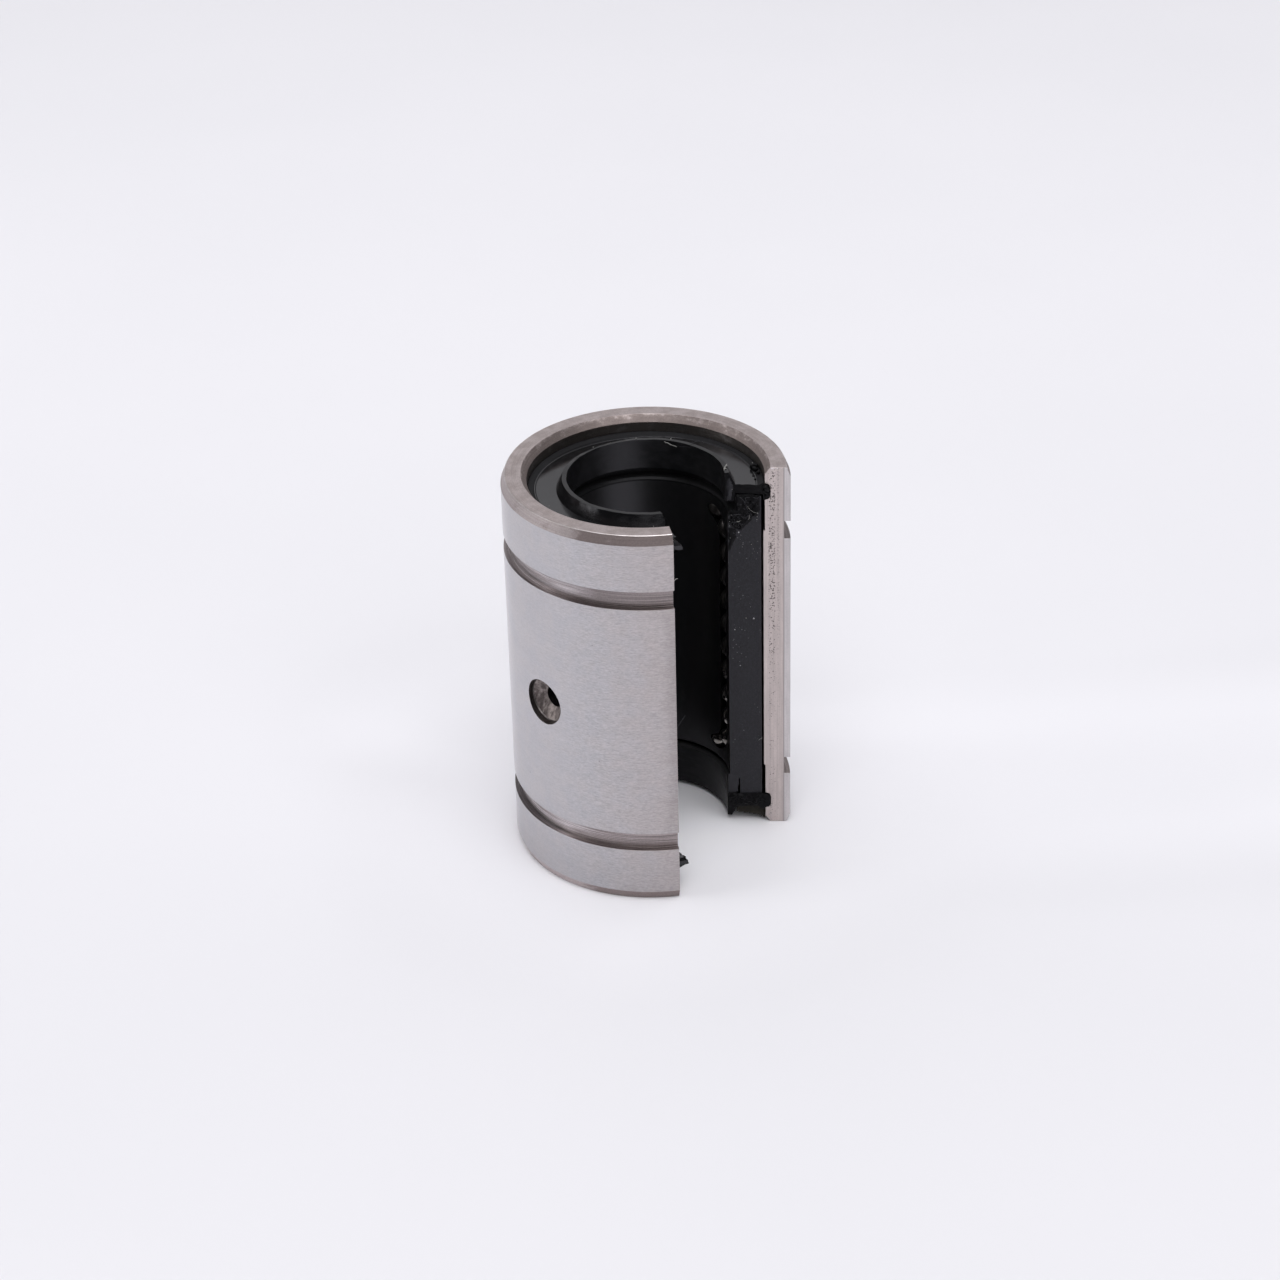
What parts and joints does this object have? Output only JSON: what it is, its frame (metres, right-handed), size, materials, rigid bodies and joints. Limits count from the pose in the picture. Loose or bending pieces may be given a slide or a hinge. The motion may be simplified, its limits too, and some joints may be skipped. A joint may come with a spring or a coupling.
{
  "type": "open linear ball bushing",
  "caption": "Slit steel sleeve with a ball cage and snap-in end rings, which runs along a round shaft held on a support rail.",
  "frame": {"origin": "on the shaft's axis at mid-length", "axes": "+Z along the shaft, -Y out of the lengthwise slit"},
  "size_m": [0.022, 0.0195, 0.032],
  "materials": {
    "ground_steel": "ground bearing steel with turned grooves and a milled slit",
    "bearing_ball": "polished bearing balls",
    "cage_plastic": "black moulded plastic, satin in the bore",
    "ring_plastic": "black moulded plastic, matt"
  },
  "bodies": {
    "bushing_body": {"outer_sleeve": "ground_steel", "ball_cage": "cage_plastic", "upper_end_ring": "ring_plastic", "lower_end_ring": "ring_plastic"},
    "right_load_row": {"right_load_ball_1": "bearing_ball", "right_load_ball_2": "bearing_ball", "right_load_ball_3": "bearing_ball", "right_load_ball_4": "bearing_ball", "right_load_ball_5": "bearing_ball", "right_load_ball_6": "bearing_ball", "right_load_ball_7": "bearing_ball", "right_load_ball_8": "bearing_ball"},
    "right_upper_turn": {"right_upper_turn_balls": "bearing_ball"},
    "right_return_row": {"right_return_ball_1": "bearing_ball", "right_return_ball_2": "bearing_ball", "right_return_ball_3": "bearing_ball", "right_return_ball_4": "bearing_ball", "right_return_ball_5": "bearing_ball", "right_return_ball_6": "bearing_ball", "right_return_ball_7": "bearing_ball", "right_return_ball_8": "bearing_ball"},
    "right_lower_turn": {"right_lower_turn_balls": "bearing_ball"},
    "rear_load_row": {"rear_load_ball_1": "bearing_ball", "rear_load_ball_2": "bearing_ball", "rear_load_ball_3": "bearing_ball", "rear_load_ball_4": "bearing_ball", "rear_load_ball_5": "bearing_ball", "rear_load_ball_6": "bearing_ball", "rear_load_ball_7": "bearing_ball", "rear_load_ball_8": "bearing_ball"},
    "rear_upper_turn": {"rear_upper_turn_balls": "bearing_ball"},
    "rear_return_row": {"rear_return_ball_1": "bearing_ball", "rear_return_ball_2": "bearing_ball", "rear_return_ball_3": "bearing_ball", "rear_return_ball_4": "bearing_ball", "rear_return_ball_5": "bearing_ball", "rear_return_ball_6": "bearing_ball", "rear_return_ball_7": "bearing_ball", "rear_return_ball_8": "bearing_ball"},
    "rear_lower_turn": {"rear_lower_turn_balls": "bearing_ball"},
    "left_load_row": {"left_load_ball_1": "bearing_ball", "left_load_ball_2": "bearing_ball", "left_load_ball_3": "bearing_ball", "left_load_ball_4": "bearing_ball", "left_load_ball_5": "bearing_ball", "left_load_ball_6": "bearing_ball", "left_load_ball_7": "bearing_ball", "left_load_ball_8": "bearing_ball"},
    "left_upper_turn": {"left_upper_turn_balls": "bearing_ball"},
    "left_return_row": {"left_return_ball_1": "bearing_ball", "left_return_ball_2": "bearing_ball", "left_return_ball_3": "bearing_ball", "left_return_ball_4": "bearing_ball", "left_return_ball_5": "bearing_ball", "left_return_ball_6": "bearing_ball", "left_return_ball_7": "bearing_ball", "left_return_ball_8": "bearing_ball"},
    "left_lower_turn": {"left_lower_turn_balls": "bearing_ball"}
  },
  "joints": [
    {"name": "right_load_row_run", "type": "slide", "parent": "bushing_body", "child": "right_load_row", "axis": [0, 0, 1], "range_m": [-0.00106, 0.00106]},
    {"name": "right_return_row_run", "type": "slide", "parent": "bushing_body", "child": "right_return_row", "axis": [0, 0, 1], "range_m": [-0.00106, 0.00106]},
    {"name": "right_upper_turn_run", "type": "hinge", "parent": "bushing_body", "child": "right_upper_turn", "pos_m": [0.00696, -0.00168, 0.00848], "axis": [-0.8955, 0.4451, 0], "range_deg": [-30, 30]},
    {"name": "right_lower_turn_run", "type": "hinge", "parent": "bushing_body", "child": "right_lower_turn", "pos_m": [0.00696, -0.00168, -0.00848], "axis": [-0.8955, 0.4451, 0], "range_deg": [-30, 30]},
    {"name": "rear_load_row_run", "type": "slide", "parent": "bushing_body", "child": "rear_load_row", "axis": [0, 0, 1], "range_m": [-0.00106, 0.00106]},
    {"name": "rear_return_row_run", "type": "slide", "parent": "bushing_body", "child": "rear_return_row", "axis": [0, 0, 1], "range_m": [-0.00106, 0.00106]},
    {"name": "rear_upper_turn_run", "type": "hinge", "parent": "bushing_body", "child": "rear_upper_turn", "pos_m": [-0.00202, 0.00687, 0.00848], "axis": [0.0623, -0.9981, 0], "range_deg": [-30, 30]},
    {"name": "rear_lower_turn_run", "type": "hinge", "parent": "bushing_body", "child": "rear_lower_turn", "pos_m": [-0.00202, 0.00687, -0.00848], "axis": [0.0623, -0.9981, 0], "range_deg": [-30, 30]},
    {"name": "left_load_row_run", "type": "slide", "parent": "bushing_body", "child": "left_load_row", "axis": [0, 0, 1], "range_m": [-0.00106, 0.00106]},
    {"name": "left_return_row_run", "type": "slide", "parent": "bushing_body", "child": "left_return_row", "axis": [0, 0, 1], "range_m": [-0.00106, 0.00106]},
    {"name": "left_upper_turn_run", "type": "hinge", "parent": "bushing_body", "child": "left_upper_turn", "pos_m": [-0.00696, -0.00168, 0.00848], "axis": [-0.8955, -0.4451, 0], "range_deg": [-30, 30]},
    {"name": "left_lower_turn_run", "type": "hinge", "parent": "bushing_body", "child": "left_lower_turn", "pos_m": [-0.00696, -0.00168, -0.00848], "axis": [-0.8955, -0.4451, 0], "range_deg": [-30, 30]}
  ],
  "couplings": [
    {"joint": "right_return_row_run", "follows": "right_load_row_run", "ratio": -1},
    {"joint": "right_upper_turn_run", "follows": "right_load_row_run", "rad_per_m": 494.07},
    {"joint": "right_lower_turn_run", "follows": "right_load_row_run", "rad_per_m": 494.07},
    {"joint": "rear_return_row_run", "follows": "rear_load_row_run", "ratio": -1},
    {"joint": "rear_upper_turn_run", "follows": "rear_load_row_run", "rad_per_m": 494.07},
    {"joint": "rear_lower_turn_run", "follows": "rear_load_row_run", "rad_per_m": 494.07},
    {"joint": "left_return_row_run", "follows": "left_load_row_run", "ratio": -1},
    {"joint": "left_upper_turn_run", "follows": "left_load_row_run", "rad_per_m": 494.07},
    {"joint": "left_lower_turn_run", "follows": "left_load_row_run", "rad_per_m": 494.07}
  ]
}
